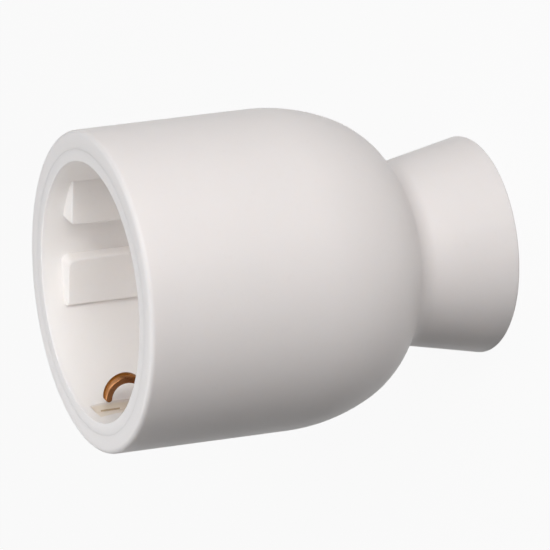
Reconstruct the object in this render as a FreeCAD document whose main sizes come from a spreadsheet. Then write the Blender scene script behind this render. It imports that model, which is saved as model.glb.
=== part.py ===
import FreeCAD, Part
import Sketcher
import math
import os
import re

# An inline socket connector that stands on its flared tail with its mouth up.
# The origin is the centre of the tail's end, +Z runs to the mouth, the two live
# contacts lie on X and the two earth clips on Y. All sizes are in millimetres.

# The sizes that can be set by themselves.
sizes = {
    # cup that the plug enters
    "recessRadius": 19.75,
    "recessDepth": 17.5,
    "insertWall": 2.25,
    "floorThickness": 4,
    "floorEdge": 0.5,
    "mouthEdge": 0.25,
    "seamEdge": 0.2,
    "fitGap": 0.08,
    "pinSpacing": 19,
    "pinHole": 2.75,
    "pinLeadIn": 0.7,
    "slotWidth": 4.7,
    "slotDepth": 1.45,
    "slotStart": 1.5,
    "slotOnFloor": 3.15,
    "ribDepth": 3.08,
    "ribFrom": 1.1,
    "ribWidth": 8,
    "ribTop": 3.2,
    "ribRound": 0.35,
    "ribCorner": 1.2,
    "blockDepth": 4.4,
    "blockFrom": 5.2,
    "blockWidth": 8.8,
    "blockTop": 3.1,
    "blockRound": 0.25,
    "blockCorner": 0.6,
    # outer shell
    "barrelWall": 3.15,
    "mouthWall": 2.88,
    "mouthRim": 0.8,
    "rimKnee": 0.29,
    "shoulderZ": 36.1,
    "crownBend": 29.6,
    "footBend": 16,
    "neckBend": 1.6,
    "shoulderStep": 10.81,
    "neckFlareZ": 14.2,
    "tailFlare": 2.88,
    "tailRim": 0.4,
    "tailWall": 2.2,
    "tailEdge": 0.4,
    "lowStep": 3.9,
    "lowDrop": 14.4,
    "highStep": 1,
    "highDrop": 7,
    "webFootZ": 13,
    "webThickness": 4.6,
    "cordPlay": 1.5,
    "cordLip": 1.2,
    "shelfRibWidth": 1.6,
    "shelfRibDepth": 1.9,
    "postRadius": 3.8,
    "postInset": 3.63,
    # contact carrier and cord clamp
    "flangeGap": 0.35,
    "flangeThickness": 3.2,
    "chimneyWall": 0.9,
    "chimneyHeight": 7.5,
    "saddleGap": 1.9,
    "saddleHeight": 8,
    "tongueThickness": 3,
    "bedWall": 3.4,
    "clampInset": 7.52,
    "clampSide": 2.9,
    "clampEnd": 3.8,
    "barCover": 1.6,
    "barInset": 1,
    # live contacts
    "sleeveBore": 2.45,
    "sleeveWall": 0.85,
    "sleeveLength": 16.2,
    "sleeveSlit": 0.8,
    "sleeveSlitLength": 10,
    "springThickness": 0.5,
    "springHeight": 3.4,
    "springRaise": 0.9,
    "springGap": 2.2,
    "terminalLength": 6,
    "terminalWidth": 7,
    "terminalHeight": 8.3,
    "wireHole": 1.4,
    "wireHoleDepth": 6.6,
    # earth strap
    "stripThickness": 1,
    "stripWidth": 2.5,
    "bridgeWidth": 6,
    "bridgeInset": 4,
    "bowRadius": 3.45,
    "bowInset": 1.85,
    "bowDepth": 6.4,
    "bowTail": 0.5,
    "legGap": 0.6,
    "legBend": 0.5,
    # screws, nuts and threaded inserts
    "screwRadius": 1.5,
    "screwHead": 2.7,
    "screwHeadHeight": 1.8,
    "screwSunk": 0.5,
    "screwGap": 0.2,
    "driverSlot": 0.7,
    "driverSlotDepth": 0.8,
    "earthScrewStop": 0.9,
    "nutThickness": 2.2,
    "nutHalfAcross": 2.75,
    "insertRadius": 2.6,
    "insertLength": 8,
    "pilotDepth": 3.2,
}

# The places and sizes that follow from them.
places = {
    "seamRadius": "recessRadius + insertWall",
    "shellBore": "seamRadius + fitGap",
    "barrelOuter": "shellBore + barrelWall",
    "mouthOuter": "shellBore + mouthWall",
    "neckFlareRadius": "barrelOuter - shoulderStep",
    "tailOuter": "neckFlareRadius + tailFlare",
    "webTop": "webFootZ + webThickness",
    "saddleFoot": "webTop + saddleGap",
    "saddleTop": "saddleFoot + saddleHeight",
    "clampZ": "saddleFoot + saddleHeight / 2",
    "sleeveFoot": "saddleTop",
    "floorFoot": "sleeveFoot + sleeveLength",
    "floorTop": "floorFoot + floorThickness",
    "bodyLength": "floorTop + recessDepth",
    "flangeFoot": "floorFoot - flangeThickness",
    "flangeRadius": "recessRadius - flangeGap",
    "postReach": "(recessRadius - postInset) * sqrt(0.5)",
    "slotReach": "recessRadius + slotDepth",
    "ribFace": "recessRadius - ribDepth",
    "blockFace": "recessRadius - blockDepth",
    "sleeveOuter": "sleeveBore + sleeveWall",
    "wellRadius": "sleeveOuter + springThickness + screwGap",
    "chimneyHalf": "wellRadius + chimneyWall",
    "chimneyFoot": "flangeFoot - chimneyHeight",
    "terminalStart": "pinSpacing / 2 + sleeveOuter - 0.6",
    "terminalEnd": "terminalStart + terminalLength",
    "terminalFoot": "flangeFoot - terminalHeight",
    "terminalZ": "flangeFoot - terminalHeight / 2",
    "liveScrewReach": "(terminalLength - sleeveWall) / 2",
    "earthScrewReach": "terminalWidth / 2 - earthScrewStop",
    "springFoot": "sleeveFoot + springRaise",
    "clampReach": "neckFlareRadius - clampInset",
    "cordRadius": "clampReach - clampSide",
    "cordHole": "cordRadius + cordPlay",
    "tongueWidth": "(clampReach + clampEnd) * 2",
    "tongueBack": "cordRadius + bedWall",
    "barDepth": "cordRadius + barCover",
    "bridgeFoot": "floorFoot - stripThickness",
    "bowReach": "recessRadius - bowInset",
    "bowZ": "bodyLength - bowDepth",
    "legReach": "slotReach - legGap",
    "legInner": "legReach - stripThickness",
    "legZ": "bowZ - bowRadius - (legInner - bowReach)",
    "screwSeat": "floorTop - screwHeadHeight - screwSunk",
}

doc = FreeCAD.newDocument("InlineSocket")
sheet = doc.addObject("Spreadsheet::Sheet", "Sizes")
for row, (name, value) in enumerate(sizes.items(), 1):
    sheet.set("A%d" % row, name)
    sheet.set("B%d" % row, str(value))
    sheet.setAlias("B%d" % row, name)
doc.recompute()


def spelled(text, before=""):
    # writes every place out in sizes, with the given word before each size
    def link(word):
        name = word.group(0)
        if name in sizes:
            return before + name
        if name in places:
            return "(%s)" % spelled(places[name], before)
        return name
    return re.sub(r"[A-Za-z]+", link, text)


def bound(text):
    return spelled(text, "Sizes.")


def measure(text):
    # the sheet works the text out in a spare cell, which is emptied again
    sheet.set("D1", "=" + spelled(text))
    sheet.recompute()
    answer = float(sheet.get("D1"))
    sheet.clear("D1")
    return answer


def bind(item, **texts):
    for prop, text in texts.items():
        item.setExpression(prop, bound(text))
    return item


def put(item, x="0", y="0", z="0", turn=None):
    # a place in the frame, with an optional turn that leaves Z along another axis
    if turn is not None:
        item.Placement = FreeCAD.Placement(FreeCAD.Vector(), turn)
    for axis, text in zip("xyz", (x, y, z)):
        item.setExpression("Placement.Base." + axis, bound(text))
    return item


alongX = FreeCAD.Rotation(FreeCAD.Vector(0, 1, 0), 90)
alongY = FreeCAD.Rotation(FreeCAD.Vector(1, 0, 0), -90)
upright = FreeCAD.Rotation(FreeCAD.Vector(1, 0, 0), 90)


def box(name, x, y, z, length, width, height):
    # x and y are the box's middle, z is its foot
    item = doc.addObject("Part::Box", name)
    bind(item, Length=length, Width=width, Height=height)
    return put(item, "%s - (%s) / 2" % (x, length), "%s - (%s) / 2" % (y, width), z)


def rod(name, radius, height, x="0", y="0", z="0", turn=None):
    item = doc.addObject("Part::Cylinder", name)
    bind(item, Radius=radius, Height=height)
    return put(item, x, y, z, turn)


def cone(name, low, high, height, x="0", y="0", z="0", turn=None):
    item = doc.addObject("Part::Cone", name)
    bind(item, Radius1=low, Radius2=high, Height=height)
    return put(item, x, y, z, turn)


def join(name, items):
    item = doc.addObject("Part::MultiFuse", name)
    item.Shapes = items
    item.Refine = True
    return item


def cut(name, base, tools):
    item = doc.addObject("Part::Cut", name)
    item.Base = base
    item.Tool = tools[0] if len(tools) == 1 else join(name + "Tools", tools)
    item.Refine = True
    return item


def soften(name, base, rounds):
    # rounds holds pairs: a radius by name, and a test that picks an edge
    doc.recompute()
    picked = []
    for radiusName, wanted in rounds:
        radius = measure(radiusName)
        for number, edge in enumerate(base.Shape.Edges, 1):
            if wanted(edge):
                picked.append((number, radius, radius))
    item = doc.addObject("Part::Fillet", name)
    item.Base = base
    item.Edges = picked
    return item


def start(x, y, z, turns):
    # a copy of a point on one side of the frame, turned half way round if asked
    return (x, y, z) if turns == 0 else ("-(%s)" % x, "-(%s)" % y, z)


def draw(sketch, corners):
    # a closed outline: each corner gives x, y, the bend of the edge that leaves it
    # (none for a straight one, a minus for a clockwise one) and how it is joined:
    # sharp and placed, smooth and placed, or smooth and left to the tangents
    spots = [FreeCAD.Vector(measure(c[0]), measure(c[1]), 0) for c in corners]
    count = len(corners)
    ends = []
    for i, (x, y, bend, joint) in enumerate(corners):
        a, b = spots[i], spots[(i + 1) % count]
        if bend is None:
            sketch.addGeometry(Part.LineSegment(a, b))
            ends.append((1, 2))
            continue
        forward = not bend.startswith("-")
        radius = measure(bend.lstrip("-"))
        step = b - a
        side = FreeCAD.Vector(-step.y, step.x, 0).normalize()
        lift = math.sqrt(max(radius * radius - step.Length ** 2 / 4, 0))
        centre = (a + b) / 2 + side * (lift if forward else -lift)
        first, last = (a, b) if forward else (b, a)
        begin = math.atan2(first.y - centre.y, first.x - centre.x)
        end = math.atan2(last.y - centre.y, last.x - centre.x)
        circle = Part.Circle(centre, FreeCAD.Vector(0, 0, 1), radius)
        sketch.addGeometry(Part.ArcOfCircle(circle, begin, end))
        ends.append((1, 2) if forward else (2, 1))
    for i, (x, y, bend, joint) in enumerate(corners):
        meet = "Coincident" if joint == "sharp" else "Tangent"
        before = (i - 1) % count
        sketch.addConstraint(Sketcher.Constraint(meet, before, ends[before][1], i, ends[i][0]))
        if bend is not None:
            number = sketch.addConstraint(
                Sketcher.Constraint("Radius", i, measure(bend.lstrip("-"))))
            sketch.renameConstraint(number, "bend%d" % i)
            sketch.setExpression("Constraints.bend%d" % i, bound(bend.lstrip("-")))
        if joint == "free":
            continue
        for kind, text, value, axis in (("DistanceX", x, spots[i].x, -2),
                                        ("DistanceY", y, spots[i].y, -1)):
            if text == "0":
                sketch.addConstraint(
                    Sketcher.Constraint("PointOnObject", i, ends[i][0], axis))
                continue
            number = sketch.addConstraint(
                Sketcher.Constraint(kind, -1, 1, i, ends[i][0], value))
            label = "%s%d" % (kind[-1].lower(), i)
            sketch.renameConstraint(number, label)
            sketch.setExpression("Constraints." + label, bound(text))


def turned(name, corners):
    # a solid of revolution about Z from an outline of radius and height
    sketch = doc.addObject("Sketcher::SketchObject", name + "Outline")
    sketch.Placement = FreeCAD.Placement(FreeCAD.Vector(), upright)
    draw(sketch, corners)
    item = doc.addObject("Part::Revolution", name)
    item.Source = sketch
    item.Axis = FreeCAD.Vector(0, 0, 1)
    item.Base = FreeCAD.Vector()
    item.Angle = 360
    item.Solid = True
    return item


finished = {}


def finish(label, item):
    item.Label = label
    finished[label] = item


# The outer shell is one moulding: barrel, round shoulder, neck and hollow flare.
# The two rims are turned as a pair of flats, which keeps their triangles few.
shellBody = turned("ShellBody", [
    ("0", "0", None, "sharp"),
    ("tailOuter - tailRim", "0", None, "sharp"),
    ("tailOuter - tailRim * rimKnee", "tailRim * rimKnee", None, "sharp"),
    ("tailOuter", "tailRim", None, "sharp"),
    ("neckFlareRadius", "neckFlareZ", "-neckBend", "smooth"),
    ("neckFlareRadius + 0.84", "neckFlareZ + 1.75", "footBend", "free"),
    ("barrelOuter - 2.6", "shoulderZ - 12.5", "crownBend", "free"),
    ("barrelOuter", "shoulderZ", None, "smooth"),
    ("mouthOuter", "bodyLength - mouthRim", None, "sharp"),
    ("mouthOuter - mouthRim * rimKnee", "bodyLength - mouthRim * rimKnee", None, "sharp"),
    ("mouthOuter - mouthRim", "bodyLength", None, "sharp"),
    ("0", "bodyLength", None, "sharp"),
])
shellHollow = turned("ShellHollow", [
    ("0", "webTop", None, "sharp"),
    ("neckFlareRadius - neckBend", "webTop", None, "sharp"),
    ("shellBore - lowStep", "shoulderZ - lowDrop", None, "sharp"),
    ("shellBore - highStep", "shoulderZ - highDrop", None, "sharp"),
    ("shellBore", "shoulderZ", None, "sharp"),
    ("shellBore", "bodyLength - seamEdge", None, "sharp"),
    ("shellBore + seamEdge", "bodyLength", None, "sharp"),
    ("shellBore + seamEdge", "bodyLength + 5", None, "sharp"),
    ("0", "bodyLength + 5", None, "sharp"),
])
tailHollow = turned("TailHollow", [
    ("0", "-5", None, "sharp"),
    ("tailOuter - tailWall + tailEdge", "-5", None, "sharp"),
    ("tailOuter - tailWall + tailEdge", "0", None, "sharp"),
    ("tailOuter - tailWall", "tailEdge", None, "sharp"),
    ("neckFlareRadius - tailWall", "webFootZ", None, "sharp"),
    ("0", "webFootZ", None, "sharp"),
])
cordPassage = turned("CordPassage", [
    ("0", "webFootZ - 1", None, "sharp"),
    ("cordHole + cordLip", "webFootZ - 1", None, "sharp"),
    ("cordHole + cordLip", "webFootZ", None, "sharp"),
    ("cordHole", "webFootZ + cordLip", None, "sharp"),
    ("cordHole", "webTop - cordLip", None, "sharp"),
    ("cordHole + cordLip", "webTop", None, "sharp"),
    ("cordHole + cordLip", "webTop + 1", None, "sharp"),
    ("0", "webTop + 1", None, "sharp"),
])
# Shelf ribs under the insert and two screw posts are what the hollow leaves standing.
standing = []
ribCount = 8
for number in range(ribCount):
    angle = 360 / ribCount * (number + 0.5)
    rib = doc.addObject("Part::Box", "ShelfRib%d" % number)
    bind(rib, Length="barrelWall + shelfRibDepth", Width="shelfRibWidth", Height="floorFoot")
    turn = FreeCAD.Rotation(FreeCAD.Vector(0, 0, 1), angle)
    along, across = "cos(%gdeg)" % angle, "sin(%gdeg)" % angle
    put(rib,
        "(shellBore - shelfRibDepth) * %s + shelfRibWidth / 2 * %s" % (along, across),
        "(shellBore - shelfRibDepth) * %s - shelfRibWidth / 2 * %s" % (across, along),
        turn=turn)
    standing.append(rib)
for turns in (0, 1):
    x, y, z = start("postReach", "postReach", "0", turns)
    standing.append(rod("Post%d" % turns, "postRadius", "flangeFoot", x, y, z))
cavity = cut("Cavity", shellHollow, standing)
insertHoles = []
for turns in (0, 1):
    x, y, z = start("postReach", "postReach", "flangeFoot - insertLength", turns)
    insertHoles.append(rod("InsertHole%d" % turns, "insertRadius", "insertLength + 2", x, y, z))
shell = cut("Shell", shellBody, [cavity, tailHollow, cordPassage] + insertHoles)
finish("outer_shell", shell)

# The insert is the cup that the mating plug enters.
cup = turned("Cup", [
    ("0", "floorFoot", None, "sharp"),
    ("seamRadius", "floorFoot", None, "sharp"),
    ("seamRadius", "bodyLength - seamEdge", None, "sharp"),
    ("seamRadius - seamEdge", "bodyLength", None, "sharp"),
    ("recessRadius + mouthEdge", "bodyLength", None, "sharp"),
    ("recessRadius", "bodyLength - mouthEdge", None, "sharp"),
    ("recessRadius", "floorTop + floorEdge", None, "sharp"),
    ("recessRadius - floorEdge", "floorTop", None, "sharp"),
    ("0", "floorTop", None, "sharp"),
])


def innerEdge(reach, top):
    # the two upright edges and the top edge of a guide's inner face
    def wanted(edge):
        ends = [v.Point for v in edge.Vertexes]
        onFace = all(abs(abs(p.x) - reach) < 0.01 for p in ends)
        low = all(p.z < top - 5 for p in ends)
        return onFace and not low
    return wanted


def cornerEdge(near, top):
    # the edge that runs back to the wall from a guide's top corner beside the mid plane
    def wanted(edge):
        ends = [v.Point for v in edge.Vertexes]
        return all(abs(abs(p.y) - near) < 0.01 and abs(p.z - top) < 0.01 for p in ends)
    return wanted


guides = []
for turns in (0, 1):
    for kind, near in (("rib", "ribFrom"), ("block", "-blockFrom - blockWidth")):
        face = kind + "Face"
        depth = "(recessRadius + 1 - %s)" % face
        x, y, z = start("%s + %s / 2" % (face, depth), "%s + %sWidth / 2" % (near, kind),
                        "floorTop - 1", turns)
        blank = box("Guide%s%d" % (kind.title(), turns), x, y, z, depth, kind + "Width",
                    "recessDepth + 1 - %sTop" % kind)
        top = measure("bodyLength - %sTop" % kind)
        corner = soften("Corner%s%d" % (kind.title(), turns), blank,
                        [(kind + "Corner", cornerEdge(measure(kind + "From"), top))])
        guides.append(soften("Soft%s%d" % (kind.title(), turns), corner,
                             [(kind + "Round", innerEdge(measure(face), top))]))
# The guides end inside the skirt, so they are trimmed to a round within its wall.
trimmed = doc.addObject("Part::Common", "Guides")
trimmed.Base = join("GuidesRaw", guides)
trimmed.Tool = rod("SkirtFill", "recessRadius + insertWall / 4", "bodyLength")
cutsInCup = []
for side in (-1, 1):
    x = "%d * pinSpacing / 2" % side
    cutsInCup.append(rod("PinHole%d" % side, "pinHole", "floorThickness + 2",
                         x, "0", "floorFoot - 1"))
    cutsInCup.append(cone("PinLead%d" % side, "pinHole", "pinHole + pinLeadIn + 0.1",
                          "pinLeadIn + 0.1", x, "0", "floorTop - pinLeadIn"))
    inner = "(recessRadius - slotOnFloor)"
    cutsInCup.append(box("EarthSlot%d" % side, "0", "%d * (slotReach + %s) / 2" % (side, inner),
                         "floorFoot - 1", "slotWidth", "slotReach - " + inner,
                         "bodyLength - slotStart - floorFoot + 1"))
for turns in (0, 1):
    x, y, z = start("postReach", "postReach", "floorFoot - 1", turns)
    cutsInCup.append(rod("HousingHole%d" % turns, "screwRadius + screwGap",
                         "floorThickness + 2", x, y, z))
    x, y, z = start("postReach", "postReach", "screwSeat", turns)
    cutsInCup.append(rod("HousingSink%d" % turns, "screwHead + screwGap",
                         "screwHeadHeight + 1", x, y, z))
    x, y, z = start("-postReach", "postReach", "floorFoot - 1", turns)
    cutsInCup.append(rod("Pilot%d" % turns, "screwRadius", "pilotDepth + 1", x, y, z))
insert = cut("Insert", join("CupWithGuides", [cup, trimmed]), cutsInCup)
finish("socket_insert", insert)

# The carrier holds the contacts under the insert and ends in the cord's saddle.
carrierParts = [rod("Flange", "flangeRadius", "flangeThickness", z="flangeFoot")]
carrierCuts = [rod("CordBed", "cordRadius", "saddleTop", z="1")]
for side in (-1, 1):
    x = "%d * pinSpacing / 2" % side
    clampX = "%d * clampReach" % side
    carrierParts.append(box("Chimney%d" % side, x, "0", "chimneyFoot", "chimneyHalf * 2",
                            "chimneyHalf * 2", "chimneyHeight + 1"))
    carrierCuts.append(rod("SleeveWell%d" % side, "wellRadius", "chimneyHeight + 1",
                           x, "0", "chimneyFoot - 1"))
    carrierCuts.append(rod("SleeveHole%d" % side, "sleeveOuter + fitGap",
                           "flangeThickness + 2", x, "0", "flangeFoot - 1"))
    carrierCuts.append(box("TerminalWay%d" % side, "%d * (pinSpacing / 2 + chimneyHalf)" % side,
                           "0", "chimneyFoot - 1", "chimneyHalf * 2",
                           "terminalWidth + fitGap * 2", "chimneyHeight + 1"))
    carrierCuts.append(rod("ClampHole%d" % side, "screwRadius + screwGap", "tongueBack + 2",
                           clampX, "-tongueBack - 1", "clampZ", alongY))
    nutWell = doc.addObject("Part::Prism", "NutWell%d" % side)
    nutWell.Polygon = 6
    bind(nutWell, Circumradius="nutHalfAcross / cos(30deg) + fitGap",
         Height="nutThickness + 1")
    carrierCuts.append(put(nutWell, clampX, "-tongueBack - 1", "clampZ", alongY))
carrierParts.append(box("Tongue", "0", "tongueThickness / 2 - tongueBack", "saddleFoot",
                        "tongueWidth", "tongueThickness", "flangeFoot - saddleFoot + 1"))
carrierParts.append(box("Saddle", "0", "-tongueBack / 2", "saddleFoot",
                        "tongueWidth", "tongueBack", "saddleHeight"))
for turns in (0, 1):
    for kind, reach in (("PostHole", "postReach"), ("FixHole", "-postReach")):
        x, y, z = start(reach, "postReach", "flangeFoot - 1", turns)
        carrierCuts.append(rod("%s%d" % (kind, turns), "screwRadius + screwGap",
                               "flangeThickness + 2", x, y, z))
carrierCuts.append(rod("RivetHole", "screwRadius + fitGap", "flangeThickness + 2",
                       z="flangeFoot - 1"))
carrierCuts.append(box("StrapGroove", "0", "0", "floorFoot - stripThickness",
                       "bridgeWidth + fitGap * 2", "flangeRadius * 2 + 2", "stripThickness + 1"))
carrier = cut("Carrier", join("CarrierSolid", carrierParts), carrierCuts)
finish("contact_carrier", carrier)


def screw(name, length, x, y, z, turn):
    # a cheese-head screw whose head stands on the given point and whose shank runs back
    shank = rod(name + "Shank", "screwRadius", "%s + 0.2" % length, z="-(%s)" % length)
    head = rod(name + "Head", "screwHead", "screwHeadHeight")
    groove = box(name + "Groove", "0", "0", "screwHeadHeight - driverSlotDepth",
                 "screwHead * 3", "driverSlot", "driverSlotDepth + 1")
    item = cut(name, join(name + "Blank", [shank, head]), [groove])
    return put(item, x, y, z, turn)


# Live contacts: a slit sleeve with a wire block on its outer side, and what goes with it.
sideNames = {-1: "left", 1: "right"}
for side in (-1, 1):
    label = sideNames[side]
    x = "%d * pinSpacing / 2" % side
    solids = [
        rod("Sleeve%d" % side, "sleeveOuter", "sleeveLength", x, "0", "sleeveFoot"),
        box("Block%d" % side, "%d * (terminalStart + terminalEnd) / 2" % side, "0",
            "terminalFoot", "terminalLength", "terminalWidth", "terminalHeight"),
    ]
    wireX = "%d * (terminalStart + terminalEnd + sleeveWall) / 2" % side
    facing = FreeCAD.Rotation(FreeCAD.Vector(0, 1, 0), 90 * side)
    holes = [
        rod("Bore%d" % side, "sleeveBore", "sleeveLength + 2", x, "0", "sleeveFoot - 1"),
        box("Slit%d" % side, x, "0", "sleeveFoot - 1", "sleeveSlit", "sleeveOuter * 3",
            "sleeveSlitLength + 1"),
        rod("Wire%d" % side, "wireHole", "wireHoleDepth + 1", wireX, "0", "terminalFoot - 1"),
        rod("Thread%d" % side, "screwRadius", "liveScrewReach + 1",
            "%d * (terminalEnd - liveScrewReach)" % side, "0", "terminalZ", facing),
    ]
    contact = cut("Contact%d" % side, join("ContactBlank%d" % side, solids), holes)
    finish("live_contact_" + label, contact)
    around = rod("SpringOuter%d" % side, "sleeveOuter + springThickness", "springHeight",
                 x, "0", "springFoot")
    away = [
        rod("SpringInner%d" % side, "sleeveOuter", "springHeight + 2", x, "0",
            "springFoot - 1"),
        box("SpringGap%d" % side, "%d * (pinSpacing / 2 - sleeveOuter)" % side, "0",
            "springFoot - 1", "sleeveOuter", "springGap", "springHeight + 2"),
    ]
    finish("contact_spring_" + label, cut("Spring%d" % side, around, away))
    finish("live_terminal_screw_" + label,
           screw("LiveScrew%d" % side, "liveScrewReach", "%d * terminalEnd" % side, "0",
                 "terminalZ", facing))

# The earth strap is one bent strip: a bridge under the floor, two legs and two bows.
strap = doc.addObject("PartDesign::Body", "Strap")


def plane(body, role):
    return [item for item in body.Origin.OriginFeatures if item.Role == role][0]


def bodySketch(body, name, role, lift="0"):
    sketch = body.newObject("Sketcher::SketchObject", name)
    sketch.AttachmentSupport = [(plane(body, role), "")]
    sketch.MapMode = "FlatFace"
    sketch.setExpression("AttachmentOffset.Base.z", bound(lift))
    return sketch


clipOutline = bodySketch(strap, "ClipOutline", "YZ_Plane")
draw(clipOutline, [
    ("bowReach + bowTail", "bowZ + bowRadius", None, "sharp"),
    ("bowReach", "bowZ + bowRadius", "bowRadius", "sharp"),
    ("bowReach - bowRadius", "bowZ", "bowRadius", "sharp"),
    ("bowReach", "bowZ - bowRadius", "-(legInner - bowReach)", "sharp"),
    ("legInner", "legZ", None, "sharp"),
    ("legInner", "floorFoot + legBend", "-legBend", "sharp"),
    ("legInner - legBend", "floorFoot", None, "sharp"),
    ("0", "floorFoot", None, "sharp"),
    ("0", "bridgeFoot", None, "sharp"),
    ("legInner - legBend", "bridgeFoot", "legBend + stripThickness", "sharp"),
    ("legReach", "floorFoot + legBend", None, "sharp"),
    ("legReach", "legZ", "legReach - bowReach", "sharp"),
    ("bowReach", "legZ + legReach - bowReach", "-(bowRadius - stripThickness)", "sharp"),
    ("bowReach - bowRadius + stripThickness", "bowZ", "-(bowRadius - stripThickness)", "sharp"),
    ("bowReach", "bowZ + bowRadius - stripThickness", None, "sharp"),
    ("bowReach + bowTail", "bowZ + bowRadius - stripThickness", "stripThickness / 2", "sharp"),
    ("bowReach + bowTail + stripThickness / 2", "bowZ + bowRadius - stripThickness / 2",
     "stripThickness / 2", "sharp"),
])
clip = strap.newObject("PartDesign::Pad", "Clip")
clip.Profile = clipOutline
clip.SideType = "Symmetric"
clip.setExpression("Length", bound("stripWidth"))
doc.recompute()
otherClip = strap.newObject("PartDesign::Mirrored", "OtherClip")
otherClip.Originals = [clip]
otherClip.MirrorPlane = (plane(strap, "XZ_Plane"), [""])
strap.Tip = otherClip
doc.recompute()
bridge = bodySketch(strap, "BridgeOutline", "XY_Plane", "bridgeFoot")
draw(bridge, [
    ("-bridgeWidth / 2", "bridgeInset - flangeRadius", None, "sharp"),
    ("bridgeWidth / 2", "bridgeInset - flangeRadius", None, "sharp"),
    ("bridgeWidth / 2", "flangeRadius - bridgeInset", None, "sharp"),
    ("-bridgeWidth / 2", "flangeRadius - bridgeInset", None, "sharp"),
])
wide = strap.newObject("PartDesign::Pad", "WideBridge")
wide.Profile = bridge
wide.setExpression("Length", bound("stripThickness"))
rivetEye = bodySketch(strap, "RivetEye", "XY_Plane", "floorFoot")
eyeRadius = measure("screwRadius")
rivetEye.addGeometry(Part.Circle(FreeCAD.Vector(), FreeCAD.Vector(0, 0, 1), eyeRadius))
rivetEye.addConstraint(Sketcher.Constraint("Coincident", 0, 3, -1, 1))
rivetEye.addConstraint(Sketcher.Constraint("Radius", 0, eyeRadius))
rivetEye.renameConstraint(1, "eye")
rivetEye.setExpression("Constraints.eye", bound("screwRadius"))
eye = strap.newObject("PartDesign::Pocket", "Eye")
eye.Profile = rivetEye
eye.setExpression("Length", bound("stripThickness + 1"))
strap.Tip = eye
doc.recompute()
eyeVolume = math.pi * eyeRadius ** 2 * measure("stripThickness")
if abs(wide.Shape.Volume - eye.Shape.Volume - eyeVolume) > 0.01:
    raise RuntimeError("the rivet's eye was not cut through the strap")
finish("earth_strap", strap)

# The earth terminal hangs under the carrier on a stem that passes up to the strap.
earthBlank = join("EarthBlank", [
    box("EarthBlock", "0", "0", "terminalFoot", "terminalWidth", "terminalWidth",
        "terminalHeight"),
    rod("EarthStem", "screwRadius", "flangeThickness + 1", z="flangeFoot - 1"),
])
earthWay = [
    rod("EarthWire", "wireHole", "wireHoleDepth + 1", z="terminalFoot - 1"),
    rod("EarthThread", "screwRadius", "earthScrewReach + 1", "0",
        "earthScrewStop", "terminalZ", alongY),
]
finish("earth_terminal", cut("EarthTerminal", earthBlank, earthWay))
finish("earth_terminal_screw",
       screw("EarthScrew", "earthScrewReach", "0", "terminalWidth / 2", "terminalZ", alongY))

# The clamp bar closes over the cord's bed and is pulled down by two screws into nuts.
barBlank = box("BarBlank", "0", "barDepth / 2", "saddleFoot + barInset", "tongueWidth",
               "barDepth", "saddleHeight - barInset * 2")
barCuts = [rod("BarBed", "cordRadius", "saddleTop", z="1")]
for side in (-1, 1):
    label = sideNames[side]
    clampX = "%d * clampReach" % side
    barCuts.append(rod("BarHole%d" % side, "screwRadius + screwGap", "barDepth + 2",
                       clampX, "-1", "clampZ", alongY))
    finish("clamp_screw_" + label,
           screw("ClampScrew%d" % side, "(barDepth + tongueBack)", clampX, "barDepth",
                 "clampZ", alongY))
    blank = doc.addObject("Part::Prism", "NutBlank%d" % side)
    blank.Polygon = 6
    bind(blank, Circumradius="nutHalfAcross / cos(30deg)", Height="nutThickness")
    put(blank, clampX, "-tongueBack", "clampZ", alongY)
    hole = rod("NutHole%d" % side, "screwRadius", "nutThickness + 2",
               clampX, "-tongueBack - 1", "clampZ", alongY)
    finish("clamp_nut_" + label, cut("Nut%d" % side, blank, [hole]))
finish("cord_clamp_bar", cut("ClampBar", barBlank, barCuts))

# Screws that hold the insert to the posts, and the carrier to the insert.
straight = FreeCAD.Rotation()
flipped = FreeCAD.Rotation(FreeCAD.Vector(1, 0, 0), 180)
for turns, label in ((0, "rear"), (1, "front")):
    x, y, z = start("postReach", "postReach", "screwSeat", turns)
    finish("housing_screw_" + label,
           screw("HousingScrew%d" % turns, "(screwSeat - flangeFoot + insertLength)",
                 x, y, z, straight))
    x, y, z = start("postReach", "postReach", "flangeFoot - insertLength", turns)
    brass = rod("PostBrass%d" % turns, "insertRadius", "insertLength", x, y, z)
    thread = rod("PostThread%d" % turns, "screwRadius", "insertLength + 2", x, y, z + " - 1")
    finish("post_insert_" + label, cut("PostInsert%d" % turns, brass, [thread]))
    x, y, z = start("-postReach", "postReach", "flangeFoot", turns)
    finish("carrier_screw_" + label,
           screw("CarrierScrew%d" % turns, "(flangeThickness + pilotDepth - screwGap)",
                 x, y, z, flipped))

doc.recompute()
for item in doc.Objects:
    if "Invalid" in item.State or "Error" in item.State:
        raise RuntimeError("%s failed: %s" % (item.Name, item.State))
for label, item in finished.items():
    shape = item.Shape
    if shape.isNull() or not shape.isValid() or len(shape.Solids) != 1:
        raise RuntimeError("%s is not one valid solid" % label)
    print("%-26s %9.1f mm3" % (label, shape.Volume))
os.makedirs("parts", exist_ok=True)
for label, item in finished.items():
    item.Shape.exportStep("parts/%s.step" % label)
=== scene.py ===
import bpy
import bmesh
import math
from mathutils import Euler, Matrix, Vector


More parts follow.
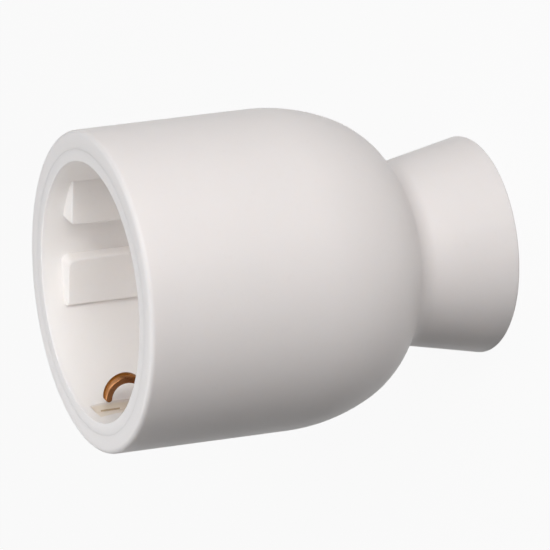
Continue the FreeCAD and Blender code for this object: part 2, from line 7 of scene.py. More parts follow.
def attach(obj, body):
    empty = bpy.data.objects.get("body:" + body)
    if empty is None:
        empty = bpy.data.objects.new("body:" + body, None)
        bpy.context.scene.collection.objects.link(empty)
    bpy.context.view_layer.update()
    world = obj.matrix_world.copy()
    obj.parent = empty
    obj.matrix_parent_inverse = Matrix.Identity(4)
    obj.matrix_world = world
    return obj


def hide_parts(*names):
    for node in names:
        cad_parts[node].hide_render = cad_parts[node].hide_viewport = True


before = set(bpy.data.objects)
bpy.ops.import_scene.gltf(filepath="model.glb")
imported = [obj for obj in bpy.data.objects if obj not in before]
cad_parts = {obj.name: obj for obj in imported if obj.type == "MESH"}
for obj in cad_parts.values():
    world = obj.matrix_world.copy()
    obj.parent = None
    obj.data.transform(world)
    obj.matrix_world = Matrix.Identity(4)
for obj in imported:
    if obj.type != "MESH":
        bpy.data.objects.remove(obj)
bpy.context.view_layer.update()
mm = 0.001  # sizes below are in millimetres, the scene is in metres
past = 1.0  # a cutter reaches this far past what it cuts
weldReach = 0.004  # points closer than this are merged
turnSides, rodSides = 160, 48
print("frame loaded with", len(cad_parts), "nodes")


# working by hand
def deselect():
    if bpy.context.object and bpy.context.object.mode != "OBJECT":
        bpy.ops.object.mode_set(mode="OBJECT")
    bpy.ops.object.select_all(action="DESELECT")


def makeActive(piece):
    deselect()
    piece.select_set(True)
    bpy.context.view_layer.objects.active = piece


def startEdit(piece):
    makeActive(piece)
    bpy.ops.object.mode_set(mode="EDIT")
    bpy.ops.mesh.select_all(action="DESELECT")


def settle(piece, name):
    # leaves the object at the origin with its place in its mesh
    bpy.ops.object.mode_set(mode="OBJECT")
    bpy.ops.object.transform_apply(location=True, rotation=True, scale=True)
    piece.name = name
    piece.data.name = name
    return piece


def apply(piece, kind, **settings):
    makeActive(piece)
    modifier = piece.modifiers.new(kind.title(), kind)
    for key, value in settings.items():
        setattr(modifier, key, value)
    bpy.ops.object.modifier_apply(modifier=modifier.name)


def combine(piece, others, operation):
    for other in others:
        apply(piece, "BOOLEAN", operation=operation, object=other, solver="EXACT")
        bpy.data.objects.remove(other)
    return piece


def tidyMesh(piece, reach=weldReach):
    startEdit(piece)
    bpy.ops.mesh.select_all(action="SELECT")
    bpy.ops.mesh.remove_doubles(threshold=reach * mm)
    bpy.ops.mesh.normals_make_consistent(inside=False)
    bpy.ops.object.mode_set(mode="OBJECT")
    return piece


def arc(start, end, radius, steps):
    # points after start on the arc to end; a positive radius bulges to the right of the way
    start, end = Vector(start), Vector(end)
    middle, way = (start + end) / 2, end - start
    across = Vector((-way.y, way.x)).normalized()
    drop = math.sqrt(radius ** 2 - (way.length / 2) ** 2)
    centre = middle + across * math.copysign(drop, radius)
    first = start - centre
    sweep = math.copysign(2 * math.asin(way.length / 2 / abs(radius)), radius)
    points = []
    for step in range(1, steps + 1):
        turned = Matrix.Rotation(sweep * step / steps, 2) @ first
        points.append(tuple(centre + turned))
    return points


def follow(moves):
    # an outline of (radius, height): a third value rounds the way there, a fourth gives its steps
    points = []
    for move in moves:
        if len(move) == 2:
            points.append(move)
        else:
            points += arc(points[-1], move[:2], move[2], move[3])
    return points


def turn(name, moves):
    # one ring of points is extruded along the outline, and a zero radius closes to a point
    outline = follow(moves)
    tip, level = 0.01, 0.0001
    ends = [max(radius, tip) for radius, height in outline]
    deselect()
    bpy.ops.mesh.primitive_circle_add(vertices=turnSides, radius=ends[0] * mm,
                                      location=(0, 0, outline[0][1] * mm))
    piece = bpy.context.object
    bpy.ops.object.transform_apply(location=True)
    bpy.ops.object.mode_set(mode="EDIT")
    bpy.ops.mesh.select_all(action="SELECT")
    for index in range(1, len(outline)):
        rise = (outline[index][1] - outline[index - 1][1]) * mm
        grow = ends[index] / ends[index - 1]
        bpy.ops.mesh.extrude_edges_move(TRANSFORM_OT_translate={"value": (0, 0, rise)})
        bpy.ops.transform.resize(value=(grow, grow, 1), center_override=(0, 0, 0))
    bpy.ops.mesh.select_all(action="SELECT")
    bpy.ops.mesh.remove_doubles(threshold=weldReach * mm)
    shape = bmesh.from_edit_mesh(piece.data)
    for height in (outline[0][1], outline[-1][1]):
        bpy.ops.mesh.select_all(action="DESELECT")
        picked = False
        for vert in shape.verts:
            if vert.co.xy.length < 2 * tip * mm and abs(vert.co.z - height * mm) < level * mm:
                vert.select = picked = True
        shape.select_flush_mode()
        if picked:
            bpy.ops.mesh.merge(type="CENTER")
            shape = bmesh.from_edit_mesh(piece.data)
    bpy.ops.mesh.select_all(action="SELECT")
    bpy.ops.mesh.normals_make_consistent(inside=False)
    return settle(piece, name)


def rod(radius, low, high, x=0, y=0, sides=rodSides):
    deselect()
    bpy.ops.mesh.primitive_cylinder_add(
        vertices=sides, radius=radius * mm, depth=(high - low) * mm,
        location=(x * mm, y * mm, (low + high) / 2 * mm))
    return settle(bpy.context.object, "rod")


def lead(low, high, foot, top, x):
    deselect()
    bpy.ops.mesh.primitive_cone_add(
        vertices=rodSides, radius1=low * mm, radius2=high * mm, depth=(top - foot) * mm,
        location=(x * mm, 0, (foot + top) / 2 * mm))
    return settle(bpy.context.object, "lead")


def brick(xs, ys, zs):
    deselect()
    middle = [(a + b) / 2 * mm for a, b in (xs, ys, zs)]
    bpy.ops.mesh.primitive_cube_add(size=1, location=middle)
    bpy.context.object.scale = [abs(b - a) * mm for a, b in (xs, ys, zs)]
    return settle(bpy.context.object, "brick")


def isAt(place, value, slack=0.01):
    return abs(place - value) < slack


def isAlong(part, least=0.9):
    # whether a unit vector with this part along an axis runs that way
    return part > least


def roundEdges(piece, radius, steps, wanted):
    # bevels the edges whose middle, in millimetres, and direction pass the test
    startEdit(piece)
    bpy.ops.mesh.select_mode(type="EDGE")
    shape = bmesh.from_edit_mesh(piece.data)
    for edge in shape.edges:
        a, b = edge.verts[0].co / mm, edge.verts[1].co / mm
        if wanted((a + b) / 2, (b - a).normalized()):
            edge.select = True
    bpy.ops.mesh.bevel(offset=radius * mm, segments=steps, affect="EDGES")
    bpy.ops.object.mode_set(mode="OBJECT")
    return piece


def pickFaces(piece, wanted):
    # selects the faces whose middle, in millimetres, and normal pass the test
    bpy.ops.mesh.select_mode(type="FACE")
    bpy.ops.mesh.select_all(action="DESELECT")
    shape = bmesh.from_edit_mesh(piece.data)
    for face in shape.faces:
        if wanted(face.calc_center_median() / mm, face.normal):
            face.select = True
    bmesh.update_edit_mesh(piece.data)


def halfTurnCopy(piece):
    makeActive(piece)
    bpy.ops.object.duplicate()
    copy = bpy.context.object
    bpy.ops.transform.rotate(value=math.pi, orient_axis="Z", center_override=(0, 0, 0))
    return settle(copy, piece.name + "Opposite")


def smooth(piece, angle=32):
    makeActive(piece)
    bpy.ops.object.shade_smooth_by_angle(angle=math.radians(angle))
    return piece


# outer shell
shellShape = {
    "length": 65.2,
    "tailRadius": 17.3, "tailRound": 0.4,
    "neck": (14.662, 13.041), "neckRound": 3.2, "neckEnd": (16.167, 16.449),
    "foot": (22.613, 23.645), "footRound": 16.0,
    "shoulder": (25.23, 36.1), "shoulderRound": 29.6,
    "mouthRadius": 24.96, "mouthRound": 0.8,
    "bore": 22.08, "boreEdge": 0.02,
    "cavityFoot": 12.82, "cavityWall": ((18.18, 21.7), (21.08, 29.1)),
    "hollowLow": 15.1, "hollowHigh": 12.22, "hollowEdge": 0.4,
    "webLow": 13.0, "webHigh": 17.6, "cordHole": 5.5, "cordLip": 1.2,
    "postReach": 11.398, "postRadius": 3.8, "postTop": 40.5,
    "brassRadius": 2.6, "brassLength": 8.0,
    "ribs": 8, "ribWidth": 1.6, "ribDepth": 1.9, "ribTop": 43.7,
    "edgeSteps": 4, "lipSteps": 6, "roundSteps": 8, "footSteps": 16, "shoulderSteps": 20,
}


def makeCavity(s):
    # the room for the wiring, less the two posts and the ribs that carry the insert
    top, bore, edge = s["length"], s["bore"], s["boreEdge"]
    cavity = turn("cavity", [
        (0, s["webHigh"]), (s["cavityFoot"], s["webHigh"]), *s["cavityWall"],
        (bore, s["shoulder"][1]), (bore, top - edge),
        (bore + edge, top, -edge, s["edgeSteps"]),
        (bore + edge, top + past), (0, top + past),
    ])
    kept = []
    for side in (-1, 1):
        kept.append(rod(s["postRadius"], 0, s["postTop"],
                        side * s["postReach"], side * s["postReach"]))
    for number in range(s["ribs"]):
        rib = brick((bore - s["ribDepth"], bore + past),
                    (-s["ribWidth"] / 2, s["ribWidth"] / 2), (0, s["ribTop"]))
        rib.rotation_euler.z = 2 * math.pi * (number + 0.5) / s["ribs"]
        makeActive(rib)
        kept.append(settle(rib, "shelfRib"))
    return combine(cavity, kept, "DIFFERENCE")


def makeHollow(s):
    # the hollow of the tail, open at its foot
    wide, edge = s["hollowLow"] + s["hollowEdge"], s["hollowEdge"]
    return turn("tailHollow", [
        (0, -past), (wide, -past), (wide, 0), (s["hollowLow"], edge, -edge, s["edgeSteps"]),
        (s["hollowHigh"], s["webLow"]), (0, s["webLow"]),
    ])


def makePassage(s):
    # the cord's hole through the web, with a round lip on both sides
    low, high, lip = s["webLow"], s["webHigh"], s["cordLip"]
    narrow, wide = s["cordHole"], s["cordHole"] + lip
    return turn("cordPassage", [
        (0, low - past), (wide, low - past), (wide, low),
        (narrow, low + lip, -lip, s["lipSteps"]), (narrow, high - lip),
        (wide, high, -lip, s["lipSteps"]), (wide, high + past), (0, high + past),
    ])


def makeShell(s):
    top, tailRound, mouthRound = s["length"], s["tailRound"], s["mouthRound"]
    body = turn("outerShell", [
        (0, 0), (s["tailRadius"] - tailRound, 0),
        (s["tailRadius"], tailRound, tailRound, s["roundSteps"]),
        s["neck"], (*s["neckEnd"], -s["neckRound"], s["roundSteps"]),
        (*s["foot"], s["footRound"], s["footSteps"]),
        (*s["shoulder"], s["shoulderRound"], s["shoulderSteps"]),
        (s["mouthRadius"], top - mouthRound),
        (s["mouthRadius"] - mouthRound, top, mouthRound, s["roundSteps"]), (0, top),
    ])
    cutters = [makeCavity(s), makeHollow(s), makePassage(s)]
    for side in (-1, 1):
        cutters.append(rod(s["brassRadius"], s["postTop"] - s["brassLength"],
                           s["postTop"] + past, side * s["postReach"], side * s["postReach"]))
    combine(body, cutters, "DIFFERENCE")
    return smooth(tidyMesh(body))


outerShell = makeShell(shellShape)
print("outer shell made,", len(outerShell.data.polygons), "faces")


# socket insert
insertShape = {
    "top": shellShape["length"], "floor": 47.7, "foot": shellShape["ribTop"],
    "radius": shellShape["bore"], "recess": 19.75, "seamEdge": 0.02, "floorRound": 0.6,
    "mouth": 20.2, "mouthEdge": 0.12, "leadDepth": 4.0,
    "guideDepth": 8.0, "guideInWall": 0.9,
    "ribFace": 16.67, "ribFrom": -1.1, "ribTo": -8.75, "ribTop": 62.0,
    "ribRound": 0.35, "ribCorner": 1.2,
    "blockFace": 15.35, "blockFrom": 5.2, "blockTo": 14.0, "blockTop": 62.1,
    "blockRound": 0.25, "blockCorner": 0.6,
    "slotWidth": 4.7, "slotReach": 21.2, "slotInner": 16.6, "slotTop": 63.7,
    "pinReach": 9.5, "pinHole": 2.75, "pinLead": 0.7, "leadPast": 0.1,
    "screwReach": shellShape["postReach"], "screwSeat": 45.4, "screwSink": 2.9,
    "screwHole": 1.7, "pilotHole": 1.5, "pilotDepth": 3.2,
    "seamSteps": 4, "mouthSteps": 5, "floorSteps": 6, "cornerSteps": 10, "faceSteps": 5,
}


def makeGuide(kind, s):
    # the corner beside the mid plane is rounded first, then the edges of the inner face
    face, near, top = s[kind + "Face"], s[kind + "From"], s[kind + "Top"]
    guide = brick((-face, -face - s["guideDepth"]), (near, s[kind + "To"]),
                  (s["floor"] - past, top))
    roundEdges(guide, s[kind + "Corner"], s["cornerSteps"], lambda middle, way:
               isAlong(abs(way.x)) and isAt(middle.y, near) and isAt(middle.z, top))
    roundEdges(guide, s[kind + "Round"], s["faceSteps"], lambda middle, way:
               isAt(middle.x, -face) and not isAt(middle.z, s["floor"] - past))
    fill = rod(s["recess"] + s["guideInWall"], s["foot"], s["top"], sides=turnSides)
    return combine(guide, [fill], "INTERSECT")


def makeInsert(s):
    top, floor, foot = s["top"], s["floor"], s["foot"]
    cup = turn("socketInsert", [
        (0, foot), (s["radius"], foot), (s["radius"], top - s["seamEdge"]),
        (s["radius"] - s["seamEdge"], top, s["seamEdge"], s["seamSteps"]),
        (s["mouth"] + s["mouthEdge"], top),
        (s["mouth"], top - s["mouthEdge"], s["mouthEdge"], s["mouthSteps"]),
        (s["recess"], top - s["leadDepth"]),
        (s["recess"], floor + s["floorRound"]),
        (s["recess"] - s["floorRound"], floor, -s["floorRound"], s["floorSteps"]),
        (0, floor),
    ])
    rib, block = makeGuide("rib", s), makeGuide("block", s)
    guides = [rib, halfTurnCopy(rib), block, halfTurnCopy(block)]
    combine(cup, guides, "UNION")
    away = []
    for side in (-1, 1):
        pin, reach = side * s["pinReach"], side * s["screwReach"]
        away.append(rod(s["pinHole"], foot - past, floor + past, pin))
        away.append(lead(s["pinHole"], s["pinHole"] + s["pinLead"] + s["leadPast"],
                         floor - s["pinLead"], floor + s["leadPast"], pin))
        away.append(brick((-s["slotWidth"] / 2, s["slotWidth"] / 2),
                          (side * s["slotInner"], side * s["slotReach"]),
                          (foot - past, s["slotTop"])))
        away.append(rod(s["screwHole"], foot - past, floor, reach, reach))
        away.append(rod(s["screwSink"], s["screwSeat"], floor + past, reach, reach))
        away.append(rod(s["pilotHole"], foot - past, foot + s["pilotDepth"], -reach, reach))
    combine(cup, away, "DIFFERENCE")
    return smooth(tidyMesh(cup))


socketInsert = makeInsert(insertShape)
print("socket insert made,", len(socketInsert.data.polygons), "faces")


# earth strap
strapShape = {
    "width": 2.5, "thickness": 1.0, "foot": 42.7,
    "bridgeWidth": 6.0, "bridgeReach": 15.4,
    "legInner": 19.6, "bend": 0.5, "legTop": 53.65,
    "bowReach": 17.9, "bowHeight": 58.8, "tip": 0.5, "tipRound": 0.49,
    "taper": 0.62, "taperReach": 6.0, "edgeRound": 0.42, "sharpFrom": 50, "eye": 1.5,
    "bendSteps": 8, "bowSteps": 32, "edgeSteps": 6, "mirrorReach": 0.01, "weldReach": 0.001,
    "smoothTo": 40,
}


def spinBy(degrees, y, z, steps):
    # turns the selected end face about an axis along X; up from +Y is positive
    bpy.ops.mesh.spin(steps=steps, angle=math.radians(-degrees),
                      center=(0, y * mm, z * mm), axis=(1, 0, 0))


def pushBy(y, z):
    bpy.ops.mesh.extrude_region_move(
        TRANSFORM_OT_translate={"value": (0, y * mm, z * mm)})


def bendStrip(s):
    # one half is drawn by its end face: along the bridge, up the leg, over the bow
    thick, bend = s["thickness"], s["bend"]
    deselect()
    bpy.ops.mesh.primitive_plane_add(size=mm, location=(0, 0, (s["foot"] + thick / 2) * mm),
                                     rotation=(math.pi / 2, 0, 0))
    strap = bpy.context.object
    strap.scale = (s["width"], thick, 1)
    bpy.ops.object.transform_apply(location=True, rotation=True, scale=True)
    bpy.ops.object.mode_set(mode="EDIT")
    bpy.ops.mesh.select_all(action="SELECT")
    pushBy(s["bridgeReach"], 0)
    pushBy(s["legInner"] - bend - s["bridgeReach"], 0)
    bendTop = s["foot"] + thick + bend
    spinBy(90, s["legInner"] - bend, bendTop, s["bendSteps"])
    pushBy(0, s["legTop"] - bendTop)
    spinBy(90, s["bowReach"], s["legTop"], s["bendSteps"])
    spinBy(-180, s["bowReach"], s["bowHeight"], s["bowSteps"])
    pushBy(s["tip"], 0)
    # the free end narrows, and the taper fades out along the bow
    bpy.ops.transform.resize(value=(s["taper"], 1, 1), center_override=(0, 0, 0),
                             use_proportional_edit=True, use_proportional_connected=True,
                             proportional_edit_falloff="SMOOTH",
                             proportional_size=s["taperReach"] * mm)
    bpy.ops.mesh.select_all(action="SELECT")
    bpy.ops.mesh.remove_doubles(threshold=weldReach * mm)
    bpy.ops.mesh.normals_make_consistent(inside=False)
    return strap


def widenBridge(strap, s):
    # the sides of the bridge move out, and the face on the mid plane goes for the mirror
    for side in (-1, 1):
        pickFaces(strap, lambda middle, normal: isAlong(normal.x * side)
                  and middle.y < s["bridgeReach"] and middle.z < s["foot"] + s["thickness"])
        bpy.ops.mesh.extrude_region_move(TRANSFORM_OT_translate={
            "value": (side * (s["bridgeWidth"] - s["width"]) / 2 * mm, 0, 0)})
    pickFaces(strap, lambda middle, normal: isAt(middle.y, 0))
    bpy.ops.mesh.delete(type="FACE")


def makeStrap(s):
    strap = bendStrip(s)
    widenBridge(strap, s)
    settle(strap, "earthStrap")
    end = s["bowReach"] + s["tip"]
    roundEdges(strap, s["tipRound"], s["edgeSteps"], lambda middle, way:
               isAlong(abs(way.x)) and isAt(middle.y, end) and middle.z > s["bowHeight"])
    apply(strap, "MIRROR", use_axis=(False, True, False), use_mirror_merge=True,
          merge_threshold=s["mirrorReach"] * mm)
    tidyMesh(strap)
    apply(strap, "BEVEL", width=s["edgeRound"] * mm, segments=s["edgeSteps"],
          limit_method="ANGLE", angle_limit=math.radians(s["sharpFrom"]))
    hole = rod(s["eye"], s["foot"] - past, s["foot"] + s["thickness"] + past)
    combine(strap, [hole], "DIFFERENCE")
    return smooth(tidyMesh(strap, s["weldReach"]), s["smoothTo"])


earthStrap = makeStrap(strapShape)
print("earth strap made,", len(earthStrap.data.polygons), "faces")


# finishes
class Signal:
    # one socket, so that shader maths reads as a sum
    def __init__(self, finish, socket):
        self.finish, self.socket = finish, socket

    def __add__(self, other):
        return self.finish.maths("ADD", self, other)

    def __radd__(self, other):
        return self.finish.maths("ADD", other, self)

    def __sub__(self, other):
        return self.finish.maths("SUBTRACT", self, other)

    def __rsub__(self, other):
        return self.finish.maths("SUBTRACT", other, self)

    def __mul__(self, other):
        return self.finish.maths("MULTIPLY", self, other)

    def __rmul__(self, other):
        return self.finish.maths("MULTIPLY", other, self)


class Finish:
    def __init__(self, owner):
        owner.use_nodes = True
        self.owner, self.tree = owner, owner.node_tree
        self.tree.nodes.clear()

    def node(self, kind, settings=None, sockets=None, output=0):
        made = self.tree.nodes.new(kind)
        for key, value in (settings or {}).items():
            setattr(made, key, value)
        for key, value in (sockets or {}).items():
            self.feed(self.find(made.inputs, key), value)
        return Signal(self, self.find(made.outputs, output))

    def find(self, sockets, key):
        if isinstance(key, int):
            return sockets[key]
        return next(one for one in sockets if one.name == key and one.enabled)

    def feed(self, socket, value):
        if isinstance(value, Signal):
            self.tree.links.new(value.socket, socket)
        elif isinstance(value, tuple) and socket.type == "RGBA":
            socket.default_value = (*value, 1)
        else:
            socket.default_value = value

    def maths(self, operation, *values):
        return self.node("ShaderNodeMath", {"operation": operation}, dict(enumerate(values)))

    def place(self, stretch=(1, 1, 1)):
        # the piece's own coordinates, squeezed along the axes where a pattern runs
        here = self.node("ShaderNodeTexCoord", output="Object")
        return self.node("ShaderNodeMapping", {}, {"Vector": here, "Scale": stretch})

    def part(self, here, axis):
        return self.node("ShaderNodeSeparateXYZ", {}, {"Vector": here}, axis)

    def noise(self, place, scale, detail, roughness=0.5):
        return self.node("ShaderNodeTexNoise", {}, {"Vector": place, "Scale": scale,
                         "Detail": detail, "Roughness": roughness}, "Fac")

    def rise(self, value, low, high, most=1.0):
        # nothing up to low, then growing until high
        return self.node("ShaderNodeMapRange", {}, {"Value": value, "From Min": low,
                         "From Max": high, "To Min": 0.0, "To Max": most})

    def blend(self, amount, first, second):
        return self.node("ShaderNodeMix", {"data_type": "RGBA"},
                         {"Factor": amount, "A": first, "B": second}, "Result")

    def surface(self, signal):
        out = self.tree.nodes.new("ShaderNodeOutputMaterial")
        self.tree.links.new(signal.socket, out.inputs["Surface"])
        return self.owner


def shade(colour, by):
    return tuple(min(1, part * by) for part in colour)


def paintRimLight(finish, here, tone, paintedRim):
    # painted light: the face of the mouth gets a cooler tint standing in for how the light falls
    # on it; the plastic there is the same as the rest
    height = finish.part(here, "Z")
    return finish.blend(finish.rise(height, paintedRim["from"] * mm, paintedRim["to"] * mm), tone, paintedRim["colour"])


def paintSlotLight(finish, here, tone, slot):
    # painted light: the walls of the two earth slots get a creamy tint standing in for warm
    # reflected light, and a short tan stripe at their outer edge is a painted shadow
    across, along = [finish.maths("ABSOLUTE", finish.part(here, axis)) for axis in ("X", "Y")]
    height = finish.part(here, "Z")
    deep = finish.rise(along, slot["from"] * mm, slot["to"] * mm)
    beside = finish.maths("LESS_THAN", across, slot["half"] * mm)
    below = finish.maths("LESS_THAN", height, slot["top"] * mm)
    inside = deep * beside * below
    # painted warm reflected light on the slot walls
    tone = finish.blend(inside * slot["paintedStrength"], tone, slot["colour"])
    # painted shadow at the foot of the outer wall
    foot, run = [finish.maths("COMPARE", value, middle * mm, half * mm)
                 for value, (middle, half) in ((along, slot["stripeFoot"]),
                                               (height, slot["stripeRun"]))]
    return finish.blend(inside * foot * run * slot["stripeStrength"], tone, slot["stripeColour"])


def plastic(name, p):
    finish = Finish(bpy.data.materials.new(name))
    here = finish.place()
    cloud = finish.noise(here, p["cloudScale"], 2)
    speck = finish.noise(here, p["speckScale"], 4, p["speckRoughness"])
    grain = finish.noise(here, p["grainScale"], 2)
    tone = finish.blend(cloud, shade(p["colour"], 1 - p["cloud"]),
                        shade(p["colour"], 1 + p["cloud"]))
    dusty = finish.rise(speck, p["dustFrom"], p["dustTo"], p["dust"])
    tone = finish.blend(dusty, tone, p["dustColour"])
    # painted light: a cooler tint on the face of the mouth
    if "paintedRim" in p:
        tone = paintRimLight(finish, here, tone, p["paintedRim"])
    # painted reflected light and painted shadow in the earth slots
    if "slot" in p:
        tone = paintSlotLight(finish, here, tone, p["slot"])
    rough = (p["roughness"] + (cloud - 0.5) * p["roughChange"]
             + (speck - 0.5) * p["speckChange"])
    soft = finish.node("ShaderNodeBevel", {"samples": p["edgeSamples"]},
                       {"Radius": p["edge"] * mm})
    bump = finish.node("ShaderNodeBump", {}, {"Height": grain, "Strength": p["grain"],
                       "Distance": p["grainDepth"] * mm, "Normal": soft})
    skin = finish.node("ShaderNodeBsdfPrincipled", {}, {
        "Base Color": tone, "Roughness": rough, "Normal": bump,
        "IOR": p["refraction"], "Specular IOR Level": p["gloss"],
        "Subsurface Weight": p["depth"], "Subsurface Scale": p["glow"] * mm,
        "Subsurface Radius": p["glowColour"]})
    return finish.surface(skin)


def stripLook(finish, here, tone, bump, strip):
    # painted shade: the strip is darkened along its two edges, a painted dark reflection for its
    # rounded edges; its broad face is a little crowned by a bump
    middle = finish.part(here, "X")
    # painted dark reflection along the two edges
    edge = finish.rise(finish.maths("ABSOLUTE", middle), strip["from"] * mm, strip["to"] * mm,
                       strip["paintedStrength"])
    tone = finish.blend(edge, tone, strip["colour"])
    crown = finish.node("ShaderNodeBump", {}, {"Height": middle * middle * (-strip["crown"] / mm),
                        "Strength": 1.0, "Distance": 1.0, "Normal": bump})
    return tone, crown


def metal(name, p):
    finish = Finish(bpy.data.materials.new(name))
    here = finish.place()
    cloud = finish.noise(here, p["cloudScale"], 3)
    lines = finish.noise(finish.place(p["drawn"]), p["lineScale"], 3, p["lineRoughness"])
    stain = finish.rise(cloud, p["stainFrom"], p["stainTo"], p["stain"])
    tone = finish.blend(stain, p["colour"], p["stainColour"])
    tone = finish.blend(lines * p["lines"], tone, shade(p["colour"], p["lineShade"]))
    rough = p["roughness"] + (lines - 0.5) * p["roughChange"] + stain * p["stainDull"]
    bump = finish.node("ShaderNodeBump", {}, {"Height": lines, "Strength": p["lineBump"],
                       "Distance": p["lineDepth"] * mm})
    # painted dark reflection along the strip's edges, and a crowned face
    if "strip" in p:
        tone, bump = stripLook(finish, here, tone, bump, p["strip"])
    skin = finish.node("ShaderNodeBsdfPrincipled", {}, {
        "Base Color": tone, "Metallic": 1.0, "Roughness": rough, "Normal": bump,
        "Specular Tint": p["grazing"]})
    return finish.surface(skin)


anyPlastic = {
    "speckRoughness": 0.6, "speckChange": 0.06, "dustFrom": 0.62, "dustTo": 0.8,
    "gloss": 0.35, "refraction": 1.5, "glowColour": (1.0, 0.9, 0.8), "edgeSamples": 6,
}
anyMetal = {
    "lineRoughness": 0.6, "lineShade": 0.6, "lineDepth": 0.02,
    "stainFrom": 0.45, "stainTo": 0.75, "stainDull": 0.2, "grazing": (1.0, 1.0, 1.0),
}
# painted light: the tint for the face of the mouth, the same plastic under a different fall of
# light
paintedRimLight = {"from": 64.4, "to": 65.1, "colour": (0.878, 0.850, 0.845)}

shellPlastic = plastic("warmWhitePlastic", {
    **anyPlastic, "colour": (0.90, 0.853, 0.838), "cloud": 0.010, "cloudScale": 90.0,
    "speckScale": 900.0, "dust": 0.10, "dustColour": (0.66, 0.62, 0.58),
    "roughness": 0.42, "roughChange": 0.10, "depth": 0.25, "glow": 2.0,
    "grain": 0.12, "grainScale": 3200.0, "grainDepth": 0.012, "edge": 0.1, "paintedRim": paintedRimLight})
insertPlastic = plastic("softWhitePlastic", {
    **anyPlastic, "colour": (0.92, 0.888, 0.868), "cloud": 0.010, "cloudScale": 120.0,
    "speckScale": 1000.0, "dust": 0.10, "dustColour": (0.68, 0.64, 0.60),
    "roughness": 0.40, "roughChange": 0.10, "depth": 0.25, "glow": 2.0,
    "grain": 0.10, "grainScale": 3200.0, "grainDepth": 0.010, "edge": 0.1, "paintedRim": paintedRimLight,
    # painted light in the earth slots: a creamy tint for warm reflected light, and a tan stripe of
    # painted shadow
    "slot": {"from": 19.8, "to": 20.2, "half": 2.45, "top": 63.72, "paintedStrength": 0.8,
             "colour": (0.90, 0.83, 0.73), "stripeFoot": (21.0, 0.14),
             "stripeRun": (60.3, 1.6), "stripeStrength": 0.85,
             "stripeColour": (0.52, 0.38, 0.23)}})
carrierPlastic = plastic("greyPlastic", {
    **anyPlastic, "colour": (0.56, 0.56, 0.54), "cloud": 0.03, "cloudScale": 160.0,
    "speckScale": 700.0, "dust": 0.25, "dustColour": (0.42, 0.41, 0.39),
    "roughness": 0.52, "roughChange": 0.12, "depth": 0.02, "glow": 1.0,
    "grain": 0.25, "grainScale": 2400.0, "grainDepth": 0.015, "edge": 0.2})
clipBronze = metal("copperBronze", {
    **anyMetal, "colour": (0.42, 0.20, 0.09), "stain": 0.6, "stainColour": (0.24, 0.10, 0.04),
    "cloudScale": 380.0, "drawn": (6, 1, 1), "lineScale": 900.0, "lines": 0.35,
    "lineBump": 0.12, "roughness": 0.24, "roughChange": 0.16, "grazing": (0.6, 0.38, 0.26),
    # painted dark reflection along the strip's edges, with the crown of its face
    "strip": {"from": 0.7, "to": 1.2, "paintedStrength": 0.75, "colour": (0.16, 0.05, 0.015),
              "crown": 0.25}})
contactBrass = metal("contactBrass", {
    **anyMetal, "colour": (0.80, 0.60, 0.28), "stain": 0.35, "stainColour": (0.52, 0.36, 0.16),
    "cloudScale": 300.0, "drawn": (1, 1, 0.1), "lineScale": 1500.0, "lines": 0.3,
    "lineBump": 0.12, "roughness": 0.28, "roughChange": 0.2})
springSteel = metal("springSteel", {
    **anyMetal, "colour": (0.58, 0.57, 0.56), "stain": 0.25, "stainColour": (0.34, 0.32, 0.30),
    "cloudScale": 500.0, "drawn": (1, 1, 8), "lineScale": 900.0, "lines": 0.25,
    "lineBump": 0.1, "roughness": 0.27, "roughChange": 0.16})
screwSteel = metal("zincedSteel", {
    **anyMetal, "colour": (0.66, 0.66, 0.65), "stain": 0.35, "stainColour": (0.44, 0.43, 0.40),
    "cloudScale": 600.0, "drawn": (1, 1, 1), "lineScale": 2200.0, "lines": 0.3,
    "lineBump": 0.15, "roughness": 0.34, "roughChange": 0.2})
print("finishes made")


# what stands for what
newPieces = {
    "outer_shell": (outerShell, shellPlastic, "shell_plastic"),
    "socket_insert": (socketInsert, insertPlastic, "insert_plastic"),
    "earth_strap": (earthStrap, clipBronze, "clip_bronze"),
}
for node, (piece, material, slot) in newPieces.items():
    piece.data.materials.clear()
    piece.data.materials.append(material)
    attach(piece, "root")
    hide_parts(node)

finishOf = {
    "contact_carrier": carrierPlastic, "cord_clamp_bar": carrierPlastic,
    "live_contact": contactBrass, "earth_terminal": contactBrass,
    "post_insert": contactBrass, "contact_spring": springSteel,
    "screw": screwSteel, "clamp_nut": screwSteel,
}
for node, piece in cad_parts.items():
    if node in newPieces:
        continue
    kind = "screw" if "screw" in node else next(key for key in finishOf if node.startswith(key))
    for slot in piece.material_slots:
        slot.material = finishOf[kind]
print("finishes given")


# floor, light and camera
def showWhite(finish, lit, share):
    # rays from the camera, gloss and glass see plain white, other rays see the lit surface
    path = {name: finish.node("ShaderNodeLightPath", output=name)
            for name in ("Is Camera Ray", "Is Glossy Ray", "Is Transmission Ray")}
    unseen = 1 - path["Is Camera Ray"]
    for name in ("Is Glossy Ray", "Is Transmission Ray"):
        unseen = unseen * (1 - path[name])
    white = finish.node("ShaderNodeEmission", {}, {"Color": (1.0, 1.0, 1.0), "Strength": 1.0})
    return finish.node("ShaderNodeMixShader", {}, {0: (1 - unseen) * share, 1: lit, 2: white})


floorShape = {"size": 6.0, "colour": (0.60, 0.595, 0.59), "white": 0.94}
deselect()
bpy.ops.mesh.primitive_plane_add(size=floorShape["size"])
floor = bpy.context.object
floor.name = "floor"
paper = Finish(bpy.data.materials.new("paleFloor"))
lit = paper.node("ShaderNodeBsdfDiffuse", {}, {"Color": floorShape["colour"]})
floor.data.materials.append(paper.surface(showWhite(paper, lit, floorShape["white"])))

skyLevel = 0.01
world = bpy.data.worlds.new("studio")
bpy.context.scene.world = world
sky = Finish(world)
dim = sky.node("ShaderNodeBackground", {}, {"Color": (1.0, 1.0, 1.0), "Strength": skyLevel})
wall = showWhite(sky, dim, 1.0)
sky.tree.links.new(wall.socket, sky.tree.nodes.new("ShaderNodeOutputWorld").inputs["Surface"])

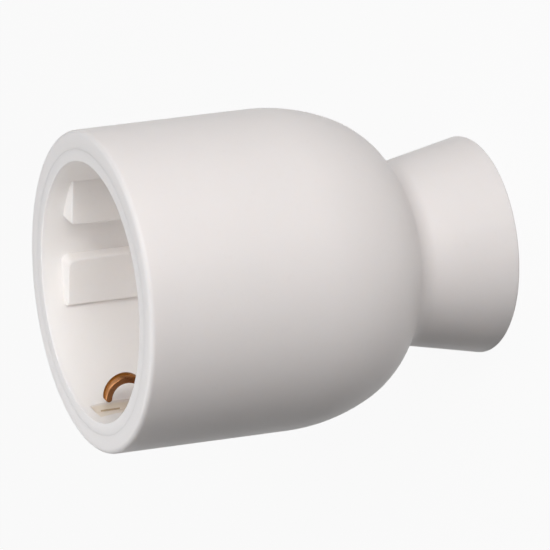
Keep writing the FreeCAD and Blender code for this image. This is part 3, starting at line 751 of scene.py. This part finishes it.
# the camera and the lamps are placed in metres and degrees
cameraShape = {"place": (0.52931, 0.22007, 0.27940), "turn": (-16.526, 65.776, 4.648),
               "lens": 261.818, "sensor": 36, "nearest": 0.01}
cameraTurn = Euler([math.radians(angle) for angle in cameraShape["turn"]]).to_matrix()

# a lamp stands far along a line from the aim, and looks back at the aim or at its target;
# line and target go by the picture's right, up and towards the camera
aim = Vector((0, 0, 34)) * mm
lamps = {
    "sideLamp": {"along": (-0.35, 0.35, 1.0), "far": 0.80, "size": 0.50, "watts": 2.28},
    "lowLamp": {"along": (0.15, 0.40, 0.90), "far": 0.80, "size": 0.30, "watts": 2.52},
    "mouthLamp": {"along": (-0.80, 0.40, 0.45), "far": 0.60, "size": 0.40, "watts": 0.55},
    "mouthCard": {"along": (-0.083, -0.040, 0.036), "far": 0.099, "size": 0.07,
                  "watts": 0.023, "target": (-0.071, 0.06, 0.036)},
    "lowCard": {"along": (-0.110, -0.050, 0.020), "far": 0.1225, "size": 0.09,
                "watts": 0.020, "target": (-0.05, 0.05, 0.01)},
}


def addLamp(name, shape):
    place = Vector(shape["along"]).normalized() * shape["far"]
    lamp = bpy.data.objects.new(name, bpy.data.lights.new(name, "AREA"))
    lamp.data.shape = "DISK"
    lamp.data.size = shape["size"]
    lamp.data.energy = shape["watts"]
    lamp.location = aim + cameraTurn @ place
    facing = cameraTurn @ (Vector(shape.get("target", (0, 0, 0))) - place)
    lamp.rotation_euler = facing.to_track_quat("-Z", "Y").to_euler()
    bpy.context.collection.objects.link(lamp)


for name, shape in lamps.items():
    addLamp(name, shape)

camera = bpy.data.objects.new("camera", bpy.data.cameras.new("camera"))
camera.data.lens = cameraShape["lens"]
camera.data.sensor_width = cameraShape["sensor"]
camera.data.clip_start = cameraShape["nearest"]
camera.location = cameraShape["place"]
camera.rotation_euler = cameraTurn.to_euler()
bpy.context.collection.objects.link(camera)
bpy.context.scene.camera = camera
bpy.context.scene.view_settings.view_transform = "Standard"
print("camera and light set")

deselect()
